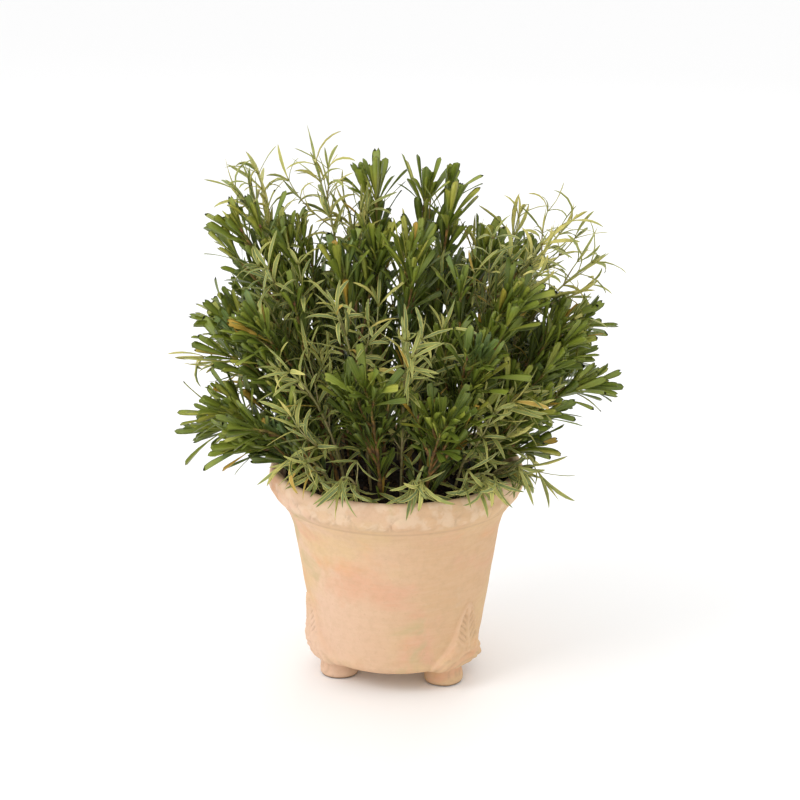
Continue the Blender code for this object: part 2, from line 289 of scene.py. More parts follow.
# %% Draw the pot's cross-section
def pot_outline():
    """The closed outline as (radius, height), from the drain hole round the wall and back."""
    heel = Vector((HEEL_RADIUS, FOOT_HEIGHT + HEEL_ROUND))
    under = Vector((HEEL_RADIUS - HEEL_ROUND, FOOT_HEIGHT))
    carved = Vector((wall_radius(CARVED_TOP), CARVED_TOP))
    neck = Vector((NECK_RADIUS, NECK_FOOT))
    roll = Vector((RIM_RADIUS - RIM_OVERHANG, RIM_FOOT))
    hollow = Vector((neck.lerp(roll, 0.32).x, neck.lerp(roll, 0.71).y))
    brow = Vector((RIM_RADIUS, POT_HEIGHT - RIM_HEIGHT * 0.4))
    crest = Vector((RIM_RADIUS - RIM_WALL * 0.5, POT_HEIGHT))
    lip = Vector((RIM_RADIUS - RIM_WALL, POT_HEIGHT - RIM_WALL * 0.5))
    inner_neck = Vector((wall_radius(neck.y) - WALL, neck.y))
    inner_floor = Vector((wall_radius(FOOT_HEIGHT + POT_FLOOR) - WALL, FOOT_HEIGHT + POT_FLOOR))
    drain_top = Vector((DRAIN_RADIUS, FOOT_HEIGHT + POT_FLOOR))
    drain_foot = Vector((DRAIN_RADIUS, FOOT_HEIGHT))

    points = [drain_foot] + run(drain_foot, under, 3)
    points += curve(under, Vector((heel.x, under.y)), heel, 9)
    points += run(heel, carved, 58)
    points += run(carved, neck, 22)
    points += curve(neck, hollow, roll, 22)
    points += curve(roll, Vector((brow.x, roll.lerp(brow, 0.35).y)), brow, 14)
    points += curve(brow, Vector((brow.x, crest.y)), crest, 10)
    points += curve(crest, Vector((lip.x, crest.y)), lip, 8)
    points += run(lip, inner_neck, 10) + run(inner_neck, inner_floor, 4)
    points.append(drain_top)
    return points


OUTLINE = pot_outline()
print(f"the outline has {len(OUTLINE)} points")

# %% [markdown]
# ## The pot: relief and ornament
# Over each foot stands a leaf relief, worn soft by weather. It is drawn as lobes: each lobe is a
# curve from the base to its own tip, with a rounded back and a shallow vein, and the highest lobe
# wins at every point. The rim carries a row of soft lumps with a fine turned line below it. All
# of this is height on the turned wall, so it is one formula of turn and height, not carving.

# %% The relief over the feet
RELIEF_TOP = 0.083
RELIEF_DATUM = FOOT_HEIGHT - 0.014


def smooth(x):
    """A soft step: 0 below 0, 1 above 1."""
    x = np.clip(x, 0.0, 1.0)
    return x * x * (3.0 - 2.0 * x)


def ridge(away, half_width):
    """A rounded ridge: 1 on its crest, 0 from half_width on."""
    return np.clip(1.0 - (away / half_width) ** 2, 0.0, 1.0)


def knee_mm(side, z):
    """Relief of one foot, in mm: a swelling with a leaf worn into it.

    side is the distance from the leaf's midrib and z the height over the relief's datum, in mm."""
    edge = np.interp(z, (14, 21, 28, 38, 47, 56, 63, 70, 77), (35, 34, 28, 19, 15.5, 13.5, 11, 7.5, 2.5))
    swell = np.interp(
        z, (14, 22, 32, 38, 45, 56, 66, 76, 80), (7.6, 7.4, 7.2, 6.3, 4.8, 2.7, 1.5, 0.7, 0.0))
    inside = smooth((edge - side) / np.maximum(0.30 * edge, 2.5))
    height = swell * inside

    border = ridge(edge - side - 2.0, 2.1) * (z < 75)
    midrib = ridge(side, 1.9) * (z > 30) * (z < 74)
    bud = ridge(np.hypot(side / 3.4, (z - 70.0) / 7.5), 1.0)
    slant = z - 0.85 * side - 0.014 * side * side
    barb_zone = smooth((edge - side - 3.2) / 1.5) * smooth((side - 1.6) / 1.2) * smooth((z - 38.0) / 4.0)
    barbs = np.cos(slant * math.tau / 6.4) * barb_zone * (z < 74)
    from_eye = np.hypot(side - 12.5, z - 33.5)
    eye = 0.9 * ridge(from_eye, 3.4) + 0.6 * ridge(from_eye - 7.2, 2.2)
    from_foot = np.hypot(side, (z - 6.0) * 1.15)
    arc_zone = smooth((from_eye - 8.0) / 2.0) * smooth((edge - side - 3.0) / 2.0) * smooth((37.0 - z) / 3.0)
    arcs = np.cos(from_foot * math.tau / 7.0) * arc_zone
    carving = 1.2 * border + 0.9 * midrib + 1.7 * bud + 0.75 * barbs + 0.55 * arcs + eye * (z < 44)
    return height, carving * smooth((edge + 1.5 - side) / 2.0)


def relief_mm(turn, height):
    """Swell and carving over all three feet, in mm, over arrays of turn in degrees and height."""
    swell, carved = np.zeros_like(height), np.zeros_like(height)
    for foot_turn in FOOT_TURNS:
        away = (turn - foot_turn + 180.0) % 360.0 - 180.0
        side = np.radians(np.abs(away)) * 1000.0 * (wall_radius(height) + 0.003)
        own_swell, own_carving = knee_mm(side, (height - RELIEF_DATUM) * 1000.0)
        near = (height < RELIEF_TOP + 0.001) & (side < 40.0)
        swell = np.where(near, np.maximum(swell, own_swell), swell)
        carved = np.where(near, own_carving, carved)
    return swell, carved


# %% The rim's ornament and the turned lines
EGGS = 38


def ornament_mm(turn, height, wear):
    """Height in mm of the rim's worn lumps and of the turned lines under them."""
    middle = RIM_FOOT + 0.0085
    band = np.exp(-(np.abs(height - middle) / 0.0075) ** 4)
    beat = (turn / 360.0 * EGGS + 0.45 * wear) % 1.0
    from_middle = np.hypot((beat - 0.45) / 0.43, (height - middle) / 0.0072)
    lump = np.sqrt(np.clip(1.0 - from_middle ** 2, 0.0, 1.0))
    dart = 0.5 * np.exp(-((beat - 0.93) / 0.05) ** 2)
    rim = band * (1.1 + 1.9 * wear) * (lump + dart - 0.5)
    groove = -0.7 * np.exp(-((height - RIM_FOOT + 0.0040) / 0.0012) ** 2)
    bead = 0.6 * np.exp(-((height - RIM_FOOT + 0.0075) / 0.0014) ** 2)
    return rim + groove + bead


# %% [markdown]
# ## The pot: turn it, then join the feet
# The outline is turned in 480 steps and each outside point is pushed out by the relief, the rim's
# ornament, and a little unevenness from the hand and the kiln. The feet are short turned buns that
# flare into the underside. A Boolean joins them, because the real pot is one piece of clay.

# %% Build the wall
POT_SIDES = 480
UNDERSIDE_POINTS = 4


def uneven(points, size, seed):
    """Smooth noise between -1 and 1 at each point, with features of about that size in metres."""
    shift = Vector((seed, seed * 0.37, -seed * 0.61))
    return np.array([noise.noise(Vector(point) / size + shift) for point in points])


def turned_grid(outline, sides):
    """Arrays of turn, radius and height for an outline turned in that many steps."""
    radius = np.array([point.x for point in outline])
    height = np.array([point.y for point in outline])
    turn = np.arange(sides) * 360.0 / sides
    return np.meshgrid(turn, radius, indexing="ij"), np.meshgrid(turn, height, indexing="ij")[1]


def turned_points(radius, angle, height):
    """Arrays of radius, angle and height as a list of points."""
    return np.stack([radius * np.sin(angle), -radius * np.cos(angle), height], -1).reshape(-1, 3)


def build_wall():
    """The pot's wall as a mesh object, with relief, ornament and unevenness."""
    (turn, radius), height = turned_grid(OUTLINE, POT_SIDES)
    outside = np.zeros(len(OUTLINE))
    crest_index = max(range(len(OUTLINE)), key=lambda k: OUTLINE[k].y)
    outside[UNDERSIDE_POINTS:crest_index] = 1.0
    angle = np.radians(turn)
    points = turned_points(radius, angle, height)
    shape = radius.shape
    wobble = uneven(points, 0.060, 3.1).reshape(shape)
    wear = uneven(points, 0.016, 9.4).reshape(shape)
    grit = uneven(points, 0.0035, 5.2).reshape(shape)
    swell, carved = relief_mm(turn, height)
    push = swell + carved * np.clip(0.95 + 0.5 * wear, 0.5, 1.2)
    push += ornament_mm(turn, height, wear) + 0.35 * wobble + 0.30 * wear + 0.07 * grit
    push = push * outside[None, :] / 1000.0
    points = turned_points(radius + push, angle, height)
    count = len(OUTLINE)
    faces = []
    for side in range(POT_SIDES):
        a, b = side * count, (side + 1) % POT_SIDES * count
        for k in range(count):
            n = (k + 1) % count
            faces.append((a + k, b + k, b + n, a + n))
    data = bpy.data.meshes.new("pot_body")
    data.from_pydata(points.tolist(), [], faces)
    print(f"the wall has {len(faces)} faces and its relief stands {push.max() * 1000:.1f} mm proud")
    return show(data, "pot_body")


# %% Build the feet and join them
FOOT_OUTLINE = (
    (0.0146, 0.0), (0.0160, 0.0006), (0.0169, 0.0022), (0.0172, 0.0052), (0.0168, 0.0088),
    (0.0160, 0.0124), (0.0157, 0.0155), (0.0160, 0.0178), (0.0168, 0.0191), (0.0168, 0.0240),
)


def build_feet():
    """The three feet as one mesh of separate closed buns."""
    mesh = bmesh.new()
    sides = 72
    for turn in FOOT_TURNS:
        centre = on_axis(FOOT_RING, turn, 0.0)
        rings = []
        for radius, height in FOOT_OUTLINE:
            ring = []
            for side in range(sides):
                spot = centre + on_axis(radius, side * 360.0 / sides, height)
                bump = 0.0004 * noise.noise(spot * 90.0) * (height > 0)
                ring.append(mesh.verts.new(spot + (spot - centre).normalized() * bump))
            rings.append(ring)
        for low, high in zip(rings, rings[1:]):
            bridge(mesh, low, high)
        mesh.faces.new(reversed(rings[0]))
        mesh.faces.new(rings[-1])
    return show(mesh, "feet")


wall_piece = build_wall()
feet_piece = build_feet()
join = wall_piece.modifiers.new("join_feet", "BOOLEAN")
join.operation = "UNION"
join.solver = "EXACT"
join.object = feet_piece
wall_piece.name = "terracotta_pot"
pot = bake_modifiers(wall_piece)
bpy.data.objects.remove(feet_piece)
pot.data.shade_smooth()
pot.data.set_sharp_from_angle(angle=math.radians(60.0))
print(f"the pot has {len(pot.data.polygons)} faces")

# %% [markdown]
# ## Terracotta
# Old garden clay is never one colour: lime blooms pale on it, and iron stains it orange. The high
# and low places of the relief are stored on the mesh as an attribute, so that the material can make
# the hollows darker and wear the high places clean. The pot's right side and the foot of its feet
# carry painted shade.

# %% Store the relief's highs and lows on the pot
def store_relief(thing):
    """Write the relief height at every point of the pot as an attribute from 0 to 1."""
    points = np.array([vert.co[:] for vert in thing.data.vertices])
    turn = np.degrees(np.arctan2(points[:, 0], -points[:, 1])) % 360.0
    height = points[:, 2]
    wear = uneven(points, 0.016, 9.4)
    high = relief_mm(turn, height)[1] / 2.4 + ornament_mm(turn, height, wear) / 3.0
    inside = np.interp(height, (0.0, NECK_FOOT, POT_HEIGHT - RIM_WALL * 0.5),
                       (HEEL_RADIUS - HEEL_ROUND, NECK_RADIUS - WALL, RIM_RADIUS - RIM_WALL))
    high = np.where(np.hypot(points[:, 0], points[:, 1]) > inside + 0.003, high, 0.0)
    layer = thing.data.attributes.new("relief", "FLOAT", "POINT")
    layer.data.foreach_set("value", np.clip(high, -0.5, 1.0))


store_relief(pot)


# %% Mix the terracotta
class Finish(Graph):
    """A material: a base colour that is painted over step by step, on a Principled shader."""

    def __init__(self, name, colour=None):
        self.material = bpy.data.materials.new(name)
        self.material.use_nodes = True
        super().__init__(self.material.node_tree)
        self.place = self.out("ShaderNodeTexCoord", output="Object")
        self.colour = colour

    def attribute(self, name):
        """A value stored on the mesh."""
        return self.out("ShaderNodeAttribute", None, "Fac", attribute_name=name)

    def stretched(self, scale):
        """The place, scaled, for noise that is drawn out one way."""
        return self.out("ShaderNodeMapping", {"Vector": self.place, "Scale": scale})

    def noise(self, scale, detail=2.0, rough=0.5, warp=0.0, coords=None):
        """Soft noise with features of about 1 / scale metres."""
        return self.out("ShaderNodeTexNoise", {
            "Vector": coords or self.place, "Scale": scale, "Detail": detail, "Roughness": rough,
            "Distortion": warp}, "Fac")

    def patches(self, scale, low, high, detail=4.0, rough=0.55, warp=0.0, coords=None):
        """Noise turned into a soft mask: 0 below low, 1 above high."""
        return self.soft(self.noise(scale, detail, rough, warp, coords), low, high)

    def paint(self, mask, paint, share=1.0):
        """Lay a colour over what is there, as much as the mask and the share say."""
        under, over = ((*c, 1.0) if isinstance(c, tuple) else c for c in (self.colour, paint))
        mask = mask * share if share < 1.0 else mask
        self.colour = self.out("ShaderNodeMix", {0: mask, 6: under, 7: over}, 2, data_type="RGBA")

    def done(self, roughness, specular=None, bump=None):
        """Feed the shader. bump is height, strength and distance."""
        shader = self.tree.nodes["Principled BSDF"]
        self.feed(shader.inputs["Base Color"], self.colour)
        self.feed(shader.inputs["Roughness"], roughness)
        if specular is not None:
            shader.inputs["Specular IOR Level"].default_value = specular
        if bump:
            relief = self.out("ShaderNodeBump", dict(zip(("Height", "Strength", "Distance"), bump)))
            self.feed(shader.inputs["Normal"], relief)
        return self.material


STAINS = (
    (11.0, 0.44, 0.66, 0.0, (0.68, 0.47, 0.26)), (15.0, 0.52, 0.70, 0.5, (0.70, 0.40, 0.255)),
    (12.5, 0.58, 0.76, 0.4, (0.72, 0.365, 0.175)), (19.0, 0.56, 0.74, 0.6, (0.57, 0.43, 0.235)),
)


def make_terracotta():
    """Pale weathered terracotta, with painted shade on its right side and at the foot of its feet."""
    clay = Finish("weathered_terracotta", (0.74, 0.505, 0.37))
    relief = clay.attribute("relief")
    smeared, wiped = clay.stretched((1.0, 1.0, 1.25)), clay.stretched((1.0, 1.0, 7.0))
    x, _, z = clay.split(clay.place)
    # Painted shade: towards +X, the pot's right side, the clay turns darker and more ochre.
    clay.paint(clay.ramp(x, -0.085, 0.03), (0.665, 0.43, 0.250))
    for scale, low, high, warp, stain in STAINS:
        clay.paint(clay.patches(scale, low, high, warp=warp, coords=smeared), stain)
    lime = clay.patches(40.0, 0.60, 0.84, 7.0, 0.65, coords=smeared)
    clay.paint(lime, (0.70, 0.58, 0.45), 0.4)
    clay.paint(clay.patches(46.0, 0.35, 0.70, 6.0, 0.7, coords=wiped), (0.76, 0.56, 0.38), 0.22)
    clay.paint(clay.patches(120.0, 0.42, 0.66, 6.0, 0.75), (0.50, 0.33, 0.19), 0.22)
    on_rim = clay.ramp(z, RIM_FOOT - 0.001, RIM_FOOT + 0.004)
    clay.paint(clay.patches(75.0, 0.46, 0.60, 5.0) * on_rim, (0.80, 0.63, 0.46), 0.40)
    clay.paint(clay.patches(420.0, 0.63, 0.74, 3.0), (0.42, 0.23, 0.13), 0.2)
    # The hollows of the relief darker, its high places warmer.
    clay.paint(clay.ramp(relief, 0.0, -0.35), (0.46, 0.31, 0.20), 0.55)
    clay.paint(clay.ramp(relief, 0.12, 0.5), (0.76, 0.51, 0.34), 0.45)
    # Painted shade: the lowest 2.6 mm of the feet, where they stand on the floor, darkened nearly to black.
    clay.paint(clay.ramp(z, 0.0026, 0.0006), (0.09, 0.055, 0.03), 0.85)
    dragged = clay.noise(60.0, 5.0, coords=wiped)
    surface = clay.noise(900.0, 4.0) * 0.35 + dragged * 0.5 + clay.patches(260.0, 0.30, 0.42, 2.0) * 0.3
    return clay.done(lime * 0.08 + 0.84, 0.25, (surface, 0.5, 0.0004))


pot.data.materials.clear()
pot.data.materials.append(make_terracotta())
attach(pot, "root")
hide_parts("pot")
print("the pot is fired")

# %% [markdown]
# ## The soil
# Potting soil is crumbs, bark and roots, not a smooth disc. The body of the soil is a turned solid
# with an uneven top. Geometry Nodes then scatter crumbs and chips of bark over it: one seed, one
# density, and two inputs for their sizes, so that a gardener could ask for coarser soil.

# %% Build the body of the soil
SOIL_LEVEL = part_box("soil")[1].z - 0.003
SOIL_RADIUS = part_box("soil")[1].x
SOIL_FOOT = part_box("soil")[0].z


def build_soil():
    """The soil as a closed turned solid with a lumpy top."""
    mesh = bmesh.new()
    sides = 120
    wall_foot = wall_radius(SOIL_FOOT) - WALL - 0.0004
    outline = [(wall_foot, SOIL_FOOT), (wall_radius(NECK_FOOT) - WALL - 0.0004, NECK_FOOT)]
    steps = 44
    top = [(SOIL_RADIUS * (1.0 - step / steps), SOIL_LEVEL) for step in range(steps)]
    rings = []
    for radius, height in outline + top:
        ring = []
        for side in range(sides):
            spot = on_axis(radius, side * 360.0 / sides, height)
            if height == SOIL_LEVEL:
                share = radius / SOIL_RADIUS
                lumps = 1.5 * noise.noise(spot * 70.0) + 0.9 * noise.noise(spot * 210.0)
                spot.z += 0.003 * (1.0 - share * share) + 0.001 * (lumps + 0.5 * noise.noise(spot * 600.0))
            ring.append(mesh.verts.new(spot))
        rings.append(ring)
    for low, high in zip(rings, rings[1:]):
        bridge(mesh, low, high)
    mesh.faces.new(reversed(rings[0]))
    crown = mesh.verts.new((0.0, 0.0, SOIL_LEVEL + 0.003))
    for side in range(sides):
        mesh.faces.new((rings[-1][side], rings[-1][(side + 1) % sides], crown))
    return show(mesh, "soil_body", 80.0)


# %% Make crumbs and bark chips to scatter
crumbs = bpy.data.collections.new("crumbs")
for name, seed, stretch in (
        ("crumb_a", 1.0, (1.0, 0.8, 0.7)), ("crumb_b", 4.0, (0.8, 1.1, 0.6)),
        ("crumb_c", 7.0, (1.0, 1.0, 0.85)), ("crumb_d_bark", 9.0, (2.2, 0.9, 0.28)),
        ("crumb_e_bark", 12.0, (1.7, 1.2, 0.22))):
    lump = bmesh.new()
    bmesh.ops.create_icosphere(lump, subdivisions=2, radius=0.5)
    for vert in lump.verts:
        swell = 1.0 + 0.45 * noise.noise(vert.co * 2.3 + Vector((seed, 0.0, seed)))
        vert.co = Vector(vert.co[k] * stretch[k] for k in range(3)) * swell
    keep(lump, name, crumbs)

# %% A tree that scatters crumbs
class Pattern(Graph):
    """A Geometry Nodes tree. Its named inputs are read as pattern["name"]."""

    def __init__(self, name, *inputs):
        super().__init__(bpy.data.node_groups.new(name, "GeometryNodeTree"))
        sockets = self.tree.interface
        for label, kind, value in (("Geometry", "Geometry", None), *inputs):
            socket = sockets.new_socket(label, in_out="INPUT", socket_type="NodeSocket" + kind)
            if value is not None:
                socket.default_value = value
        sockets.new_socket("Geometry", in_out="OUTPUT", socket_type="NodeSocketGeometry")
        self.given = self.tree.nodes.new("NodeGroupInput").outputs

    def __getitem__(self, label):
        return Wire(self, self.given[label])

    def geo(self, kind, inputs=None, output=0, **options):
        """A geometry node's output."""
        return self.out("GeometryNode" + kind, inputs, output, **options)

    def read(self, name, kind="FLOAT"):
        """A named attribute of the geometry at hand."""
        return self.geo("InputNamedAttribute", {"Name": name}, data_type=kind)

    def store(self, geometry, name, value, kind="FLOAT", domain="POINT"):
        """Store a value on the geometry under a name."""
        return self.geo("StoreNamedAttribute", {"Geometry": geometry, "Name": name, "Value": value},
                        data_type=kind, domain=domain)

    def random(self, seed, output="Value", kind="FLOAT", **limits):
        """A random value; limits are given by socket as s2=low, s3=high."""
        inputs = {int(name[1:]): value for name, value in limits.items()}
        return self.out("FunctionNodeRandomValue", {**inputs, "Seed": seed}, output, data_type=kind)

    def shapes(self, name):
        """The shapes of a collection, to pick from."""
        return self.geo("CollectionInfo", {
            "Collection": self[name], "Separate Children": True, "Reset Children": True})

    def finish(self, geometry, material):
        """Make the copies real and give them their material."""
        real = self.geo("RealizeInstances", {0: geometry})
        return self.geo("SetMaterial", {0: real, "Material": self[material]})

    def join(self, *parts):
        """All parts as one geometry."""
        join = self.tree.nodes.new("GeometryNodeJoinGeometry")
        for part in parts:
            self.feed(join.inputs[0], part)
        return Wire(self, join.outputs[0])

    def done(self, geometry):
        """Send the geometry out and hand the tree over."""
        self.feed(self.tree.nodes.new("NodeGroupOutput").inputs[0], geometry)
        return self.tree


def run_tree(thing, tree, settings):
    """Run a tree on an object, with inputs set by name, and bake the result."""
    modifier = thing.modifiers.new(tree.name, "NODES")
    modifier.node_group = tree
    for item in tree.interface.items_tree:
        if item.item_type == "SOCKET" and item.in_out == "INPUT" and item.name in settings:
            modifier[item.identifier] = settings[item.name]
    return bake_modifiers(thing)


def scatter_tree():
    """Scatter crumbs over the level faces of a mesh, and keep the mesh."""
    g = Pattern("scatter_crumbs", ("Crumbs", "Collection", None), ("Density", "Float", 1.0),
                ("Smallest", "Float", 0.001), ("Largest", "Float", 0.004), ("Above", "Float", 0.0),
                ("Seed", "Int", 1), ("Soil", "Material", None))
    height = g.split(g.geo("InputPosition"))[2]
    level = g.out("FunctionNodeCompare", {0: height, 1: g["Above"]}, operation="GREATER_THAN")
    points = g.geo("DistributePointsOnFaces", {
        "Mesh": g["Geometry"], "Selection": level, "Density": g["Density"], "Seed": g["Seed"]}, "Points")
    small = g.random(g["Seed"]).math("POWER", 3.0)
    size = small * (g["Largest"] - g["Smallest"]) + g["Smallest"]
    spin = g.random(5, 0, "FLOAT_VECTOR", s0=(-0.7, -0.7, 0.0), s1=(0.7, 0.7, 6.28))
    chips = g.geo("InstanceOnPoints", {
        "Points": points, "Instance": g.shapes("Crumbs"), "Pick Instance": True,
        "Instance Index": g.random(8, 2, "INT", s4=0, s5=4), "Scale": size,
        "Rotation": g.out("FunctionNodeEulerToRotation", {0: spin})})
    chips = g.store(chips, "tone", g.random(11), domain="INSTANCE")
    return g.done(g.finish(g.join(chips, g["Geometry"]), "Soil"))

# %% Mix the soil's colour and lay it
def make_soil():
    """Dark moist compost with paler bark and grit."""
    earth = Finish("potting_soil", (0.018, 0.012, 0.008))
    tone = earth.attribute("tone")
    earth.paint(earth.patches(120.0, 0.35, 0.65), (0.045, 0.028, 0.016))
    earth.paint(earth.ramp(tone, 0.55, 0.8), (0.085, 0.045, 0.022))
    earth.paint(earth.ramp(tone, 0.93, 0.97), (0.30, 0.22, 0.13))
    return earth.done(0.92, 0.2, (earth.noise(1400.0, 5.0), 0.7, 0.0005))


soil = build_soil()
soil.name = "potting_soil"
soil = run_tree(soil, scatter_tree(), {
    "Crumbs": crumbs, "Density": 42000.0, "Smallest": 0.0012, "Largest": 0.0065,
    "Above": SOIL_LEVEL - 0.004, "Seed": 3, "Soil": make_soil()})
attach(soil, "root")
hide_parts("soil")
print(f"the soil has {len(soil.data.polygons)} faces")

# %% [markdown]
# ## The leaves
# Two leaf kinds give the plant its look. The dark one is a paddle: a narrow base that widens to a
# blunt tip, often with small teeth. The pale one is a narrow blade that curls. Each kind gets a few
# shapes, made as thin closed solids with a raised midrib underneath, of a few dozen faces each,
# because they are repeated thousands of times. A UV map runs along and across each leaf, so that
# one material can draw midrib, margin and tip on every copy.

# %% Shape a leaf blade
def blade(name, group, length, half_width, profile, tip, fold, arch, twist):
    """A leaf along +Z with its upper face towards +Y.

    profile gives the width at rows along the leaf as (place, share of the half width), tip the
    places of the five points of the last row, fold how far the edges rise, arch the bend
    backwards and twist the turn along the leaf, both in radians."""
    mesh = bmesh.new()
    uv = mesh.loops.layers.uv.new("leaf_map")
    across = (-1.0, -0.5, 0.0, 0.5, 1.0, 0.0)
    rows, spots = [], []
    for index, (place, width) in enumerate(profile):
        ring = []
        for k, x in enumerate(across):
            along = place
            if index == len(profile) - 1:
                along += tip[k] if k < 5 else tip[2]
            bend = arch * along
            back = math.sin(bend / 2) / (bend / 2) if bend else 1.0
            out = along * length * back * math.cos(bend / 2)
            drop = -along * length * back * math.sin(bend / 2)
            turn = twist * along
            wide = x * half_width * width
            rise = fold * abs(x) * half_width * width
            if k == 5:
                rise = -0.00042 * (1.15 - along)
            lift_x = wide * math.cos(turn) - rise * math.sin(turn)
            lift_y = wide * math.sin(turn) + rise * math.cos(turn)
            spot = Vector((lift_x, drop + lift_y * math.cos(bend), out + lift_y * math.sin(bend)))
            ring.append(mesh.verts.new(spot))
            spots.append((0.5 + 0.5 * x, along))
        rows.append(ring)
    mesh.verts.index_update()
    faces = [mesh.faces.new(rows[0]), mesh.faces.new(reversed(rows[-1]))]
    for low, high in zip(rows, rows[1:]):
        for k in range(6):
            n = (k + 1) % 6
            faces.append(mesh.faces.new((low[k], high[k], high[n], low[n])))
    for face in faces:
        face.smooth = True
        for loop in face.loops:
            loop[uv].uv = spots[loop.vert.index]
    bmesh.ops.recalc_face_normals(mesh, faces=faces)
    keep(mesh, name, group)


PADDLE = ((0.0, 0.20), (0.16, 0.26), (0.36, 0.52), (0.56, 0.84), (0.76, 1.0), (0.90, 0.93), (0.96, 0.68))
TOOTHED = ((0.0, 0.20), (0.20, 0.27), (0.42, 0.50), (0.62, 0.82), (0.80, 1.0), (0.90, 0.98), (0.95, 0.86))
LANCE = ((0.0, 0.34), (0.15, 0.55), (0.38, 0.95), (0.60, 1.0), (0.80, 0.74), (0.93, 0.42), (0.99, 0.12))
ROUND_TIP = (-0.018, 0.018, 0.032, 0.018, -0.018)
NOTCHED_TIP = (-0.01, 0.050, -0.005, 0.045, -0.01)
THREE_TEETH = (0.010, -0.045, 0.050, -0.045, -0.005)
POINTED_TIP = (0.0, 0.01, 0.02, 0.01, 0.0)

# name, length, half width, profile, tip, fold, arch, twist
BROAD_SHAPES = (
    ("broad_a", 0.043, 0.0037, PADDLE, ROUND_TIP, 0.22, 0.30, 0.15),
    ("broad_b", 0.046, 0.0039, TOOTHED, NOTCHED_TIP, 0.16, 0.15, -0.30),
    ("broad_c", 0.050, 0.0038, TOOTHED, THREE_TEETH, 0.20, 0.45, 0.35),
    ("broad_d", 0.039, 0.0041, PADDLE, ROUND_TIP, 0.28, -0.20, -0.10),
    ("broad_e", 0.048, 0.0035, TOOTHED, THREE_TEETH, 0.24, -0.10, 0.55),
)
NARROW_SHAPES = (
    ("narrow_a", 0.035, 0.0018, LANCE, POINTED_TIP, 0.30, 0.85, 0.5),
    ("narrow_b", 0.033, 0.0019, LANCE, POINTED_TIP, 0.35, 1.20, -0.7),
    ("narrow_c", 0.039, 0.0017, LANCE, POINTED_TIP, 0.25, 0.35, 1.0),
    ("narrow_d", 0.031, 0.0020, LANCE, POINTED_TIP, 0.40, 1.60, 0.6),
    ("narrow_e", 0.036, 0.0018, LANCE, POINTED_TIP, 0.30, -0.70, -1.2),
)
broad_leaves = bpy.data.collections.new("broad_leaves")
narrow_leaves = bpy.data.collections.new("narrow_leaves")
for leaves, shapes in ((broad_leaves, BROAD_SHAPES), (narrow_leaves, NARROW_SHAPES)):
    for name, *measures in shapes:
        blade(name, leaves, *measures)

# %% A bud for the shoot tips
buds = bpy.data.collections.new("buds")
bud = bmesh.new()
bmesh.ops.create_uvsphere(bud, u_segments=7, v_segments=5, radius=0.5)
for vert in bud.verts:
    vert.co.z = (vert.co.z + 0.5) * 1.9
    slimmer = 0.72 + 0.25 * (vert.co.z < 1.0)
    vert.co.x *= slimmer
    vert.co.y *= slimmer
for face in bud.faces:
    face.smooth = True
keep(bud, "bud", buds)

# %% [markdown]
# ## Leaf, bark and bud finishes
# A living leaf is darkest along its middle age, yellower at its foot and along its margin, paler
# on the back of the midrib. Every leaf carries its own random tone, which slides it along a row of
# greens, and large soft patches make whole twigs lean one way or the other.

# %% Mix the leaf colours
def colour_ramp(graph, value, stops):
    """A colour ramp through (place, colour) stops."""
    node = graph.tree.nodes.new("ShaderNodeValToRGB")
    graph.feed(node.inputs[0], value)
    elements = node.color_ramp.elements
    while len(elements) < len(stops):
        elements.new(0.5)
    for element, (place, colour) in zip(elements, stops):
        element.position = place
        element.color = (*colour, 1.0)
    return Wire(graph, node.outputs[0])


def make_leaf(name, greens, rib, margin, foot, rib_share, margin_share, margin_from, sun_share, roughness):
    """A leaf finish: greens by tone, then midrib, margin and foot drawn from the leaf's map."""
    leaf = Finish(name)
    tone, season = leaf.attribute("tone"), leaf.attribute("season")
    across, along, _ = leaf.split(leaf.out("ShaderNodeUVMap", uv_map="leaf_map"))
    x, y, z = leaf.split(leaf.place)
    off_rib = (across - 0.5).math("ABSOLUTE")
    mottled = leaf.patches(380.0, 0.50, 0.72, 3.0)

    drift, fresh = leaf.patches(26.0, 0.32, 0.68, 2.0), leaf.soft(season, 1.6, 0.5)
    sunlit = leaf.soft(from_pot_axis(x, y), 0.11, 0.18).math("MAXIMUM", leaf.soft(z, 0.33, 0.43))
    key = drift * 0.28 + tone * 0.46 + fresh * 0.24 + sunlit * sun_share
    leaf.colour = colour_ramp(leaf, key, greens)
    leaf.paint(leaf.patches(15.0, 0.60, 0.74, 1.0), (0.16, 0.27, 0.115), 0.5)
    leaf.paint(leaf.soft(tone, 0.975, 0.985), (0.55, 0.30, 0.04), 0.8)
    leaf.paint(leaf.soft(along, 0.22, 0.02), foot, 0.55)
    leaf.paint(mottled, foot, 0.28)
    leaf.paint(leaf.soft(off_rib, 0.07, 0.02), rib, rib_share)
    leaf.paint(leaf.soft(off_rib, margin_from, 0.45), margin, margin_share)
    dry = leaf.soft(along, 0.955, 0.995) * leaf.soft(tone, 0.45, 0.85)
    leaf.paint(dry, (0.16, 0.09, 0.035), 0.7)

    veins = leaf.out("ShaderNodeTexWave", {
        "Vector": leaf.combine(along - off_rib * 0.35, 0.0, 0.0), "Scale": 7.0, "Distortion": 1.5,
        "Detail": 1.0}, "Fac")
    ridges = veins * 0.35 + leaf.noise(1500.0) * 0.25 - leaf.soft(off_rib, 0.08, 0.0) * 0.6
    return leaf.done(mottled * 0.12 + roughness, 0.40, (ridges, 0.5, 0.0003))


